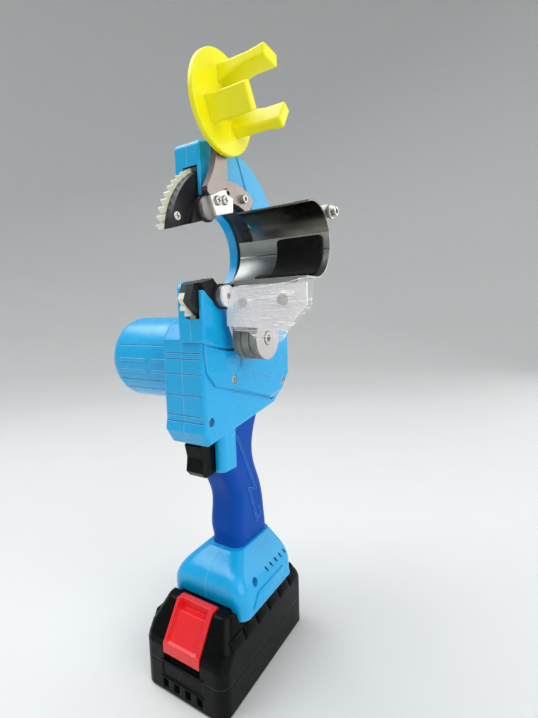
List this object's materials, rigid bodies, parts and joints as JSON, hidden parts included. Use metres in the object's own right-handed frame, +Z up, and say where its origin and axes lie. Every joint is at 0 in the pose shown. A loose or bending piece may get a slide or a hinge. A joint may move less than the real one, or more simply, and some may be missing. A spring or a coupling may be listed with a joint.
{
  "type": "cordless harness taping tool",
  "caption": "Hand held cordless tool with a slide-on battery and a C-shaped head whose open geared rotor carries a tape roll round a wire harness.",
  "frame": {"origin": "middle of the battery's flat bottom face, on which the tool stands", "axes": "+Z up, -Y to the front with the trigger and the harness mouth, +X to the tape side"},
  "size_m": [0.1827, 0.138, 0.4385],
  "materials": {
    "housing_blue": "satin moulded plastic",
    "grip_rubber": "soft matt rubber",
    "battery_black": "fine grained black plastic",
    "button_red": "moulded red plastic",
    "trigger_black": "black plastic",
    "holder_yellow": "printed yellow plastic",
    "gear_ivory": "ivory gear plastic",
    "rotor_black": "black engineering plastic",
    "arm_grey": "warm grey painted steel strip",
    "bright_steel": "bright sheet steel",
    "mirror_steel": "polished stainless sheet",
    "wheel_steel": "knurled steel",
    "screw_steel": "zinc plated steel",
    "shaft_steel": "ground steel",
    "gearbox_alloy": "die cast alloy",
    "pad_fleece": "dark fleece pad",
    "clear_film": "clear wrinkled film",
    "terminal_brass": "plated brass",
    "board_green": "circuit board",
    "cell_sleeve": "shrink sleeve on steel cells"
  },
  "bodies": {
    "body": {"body_shell_left": "housing_blue", "body_shell_right": "housing_blue", "grip_sleeve": "grip_rubber", "gear_cover": "housing_blue", "head_shell_left": "housing_blue", "head_shell_right": "housing_blue", "motor_barrel": "housing_blue", "motor_can": "shaft_steel", "gearbox": "gearbox_alloy", "pinion_pins": "shaft_steel", "body_screws": "screw_steel", "head_screws": "screw_steel", "cover_screws": "screw_steel", "trigger_switch": "trigger_black", "control_board": "board_green", "terminal_block": "trigger_black", "terminal_blades": "terminal_brass"},
    "armature": {"motor_armature": "shaft_steel"},
    "drive": {"output_shaft": "shaft_steel", "drive_gear": "shaft_steel"},
    "front_idler": {"front_pinion": "gear_ivory"},
    "rear_idler": {"rear_pinion": "gear_ivory"},
    "rotor": {"ring_gear": "gear_ivory", "rotor_plate": "rotor_black", "rotor_screws": "screw_steel", "post_bushes": "rotor_black", "bracket_posts": "bright_steel", "tape_arm": "arm_grey", "clamp_plate": "bright_steel", "clamp_screws": "screw_steel", "arm_screw": "screw_steel", "holder_washer": "bright_steel", "holder_spindle": "screw_steel", "guide_trough": "mirror_steel", "trough_panel": "mirror_steel", "trough_pad": "pad_fleece", "guide_rod": "shaft_steel", "rod_washer": "bright_steel", "rod_screw": "screw_steel", "lower_bracket": "bright_steel", "bracket_film": "clear_film", "bracket_screws": "screw_steel", "wheel_bolt": "screw_steel"},
    "holder": {"tape_holder": "holder_yellow"},
    "wheel": {"knurled_wheel": "wheel_steel"},
    "roller": {"guide_roller": "gear_ivory"},
    "trigger": {"trigger": "trigger_black"},
    "battery": {"battery_case_lower": "battery_black", "battery_case_upper": "battery_black", "battery_cells": "cell_sleeve", "battery_contacts": "terminal_brass", "battery_screws": "screw_steel"},
    "button": {"release_button": "button_red"}
  },
  "joints": [
    {"name": "rotor_spin", "type": "hinge", "parent": "body", "child": "rotor", "pos_m": [0, -0.012, 0.3235], "axis": [1, 0, 0], "continuous": true},
    {"name": "front_pinion_spin", "type": "hinge", "parent": "body", "child": "front_idler", "pos_m": [0, -0.03163, 0.26271], "axis": [1, 0, 0], "continuous": true},
    {"name": "rear_pinion_spin", "type": "hinge", "parent": "body", "child": "rear_idler", "pos_m": [0, 0.03491, 0.27037], "axis": [1, 0, 0], "continuous": true},
    {"name": "drive_spin", "type": "hinge", "parent": "body", "child": "drive", "pos_m": [0, 0, 0.244], "axis": [1, 0, 0], "continuous": true},
    {"name": "armature_spin", "type": "hinge", "parent": "body", "child": "armature", "pos_m": [0, 0, 0.244], "axis": [1, 0, 0], "continuous": true},
    {"name": "tape_holder_spin", "type": "hinge", "parent": "rotor", "child": "holder", "pos_m": [0, -0.0325, 0.4085], "axis": [1, 0, 0], "continuous": true},
    {"name": "knurled_wheel_spin", "type": "hinge", "parent": "rotor", "child": "wheel", "pos_m": [0, -0.0096, 0.2615], "axis": [1, 0, 0], "continuous": true},
    {"name": "guide_roller_spin", "type": "hinge", "parent": "rotor", "child": "roller", "pos_m": [0, 0.01343, 0.34484], "axis": [1, 0, 0], "continuous": true},
    {"name": "trigger_pull", "type": "slide", "parent": "body", "child": "trigger", "axis": [0, 1, 0], "range_m": [0, 0.006], "stiffness_N_per_m": 800, "springref_m": -0.002},
    {"name": "battery_slide", "type": "slide", "parent": "body", "child": "battery", "axis": [0, -1, 0], "range_m": [0, 0.075]},
    {"name": "release_button_press", "type": "slide", "parent": "battery", "child": "button", "axis": [0, 0, -1], "range_m": [0, 0.004], "stiffness_N_per_m": 700, "springref_m": -0.002}
  ],
  "couplings": [
    {"joint": "front_pinion_spin", "follows": "rotor_spin", "ratio": -6.3},
    {"joint": "rear_pinion_spin", "follows": "rotor_spin", "ratio": -3.5},
    {"joint": "drive_spin", "follows": "rotor_spin", "ratio": 1.9688},
    {"joint": "armature_spin", "follows": "rotor_spin", "ratio": 7.875}
  ]
}
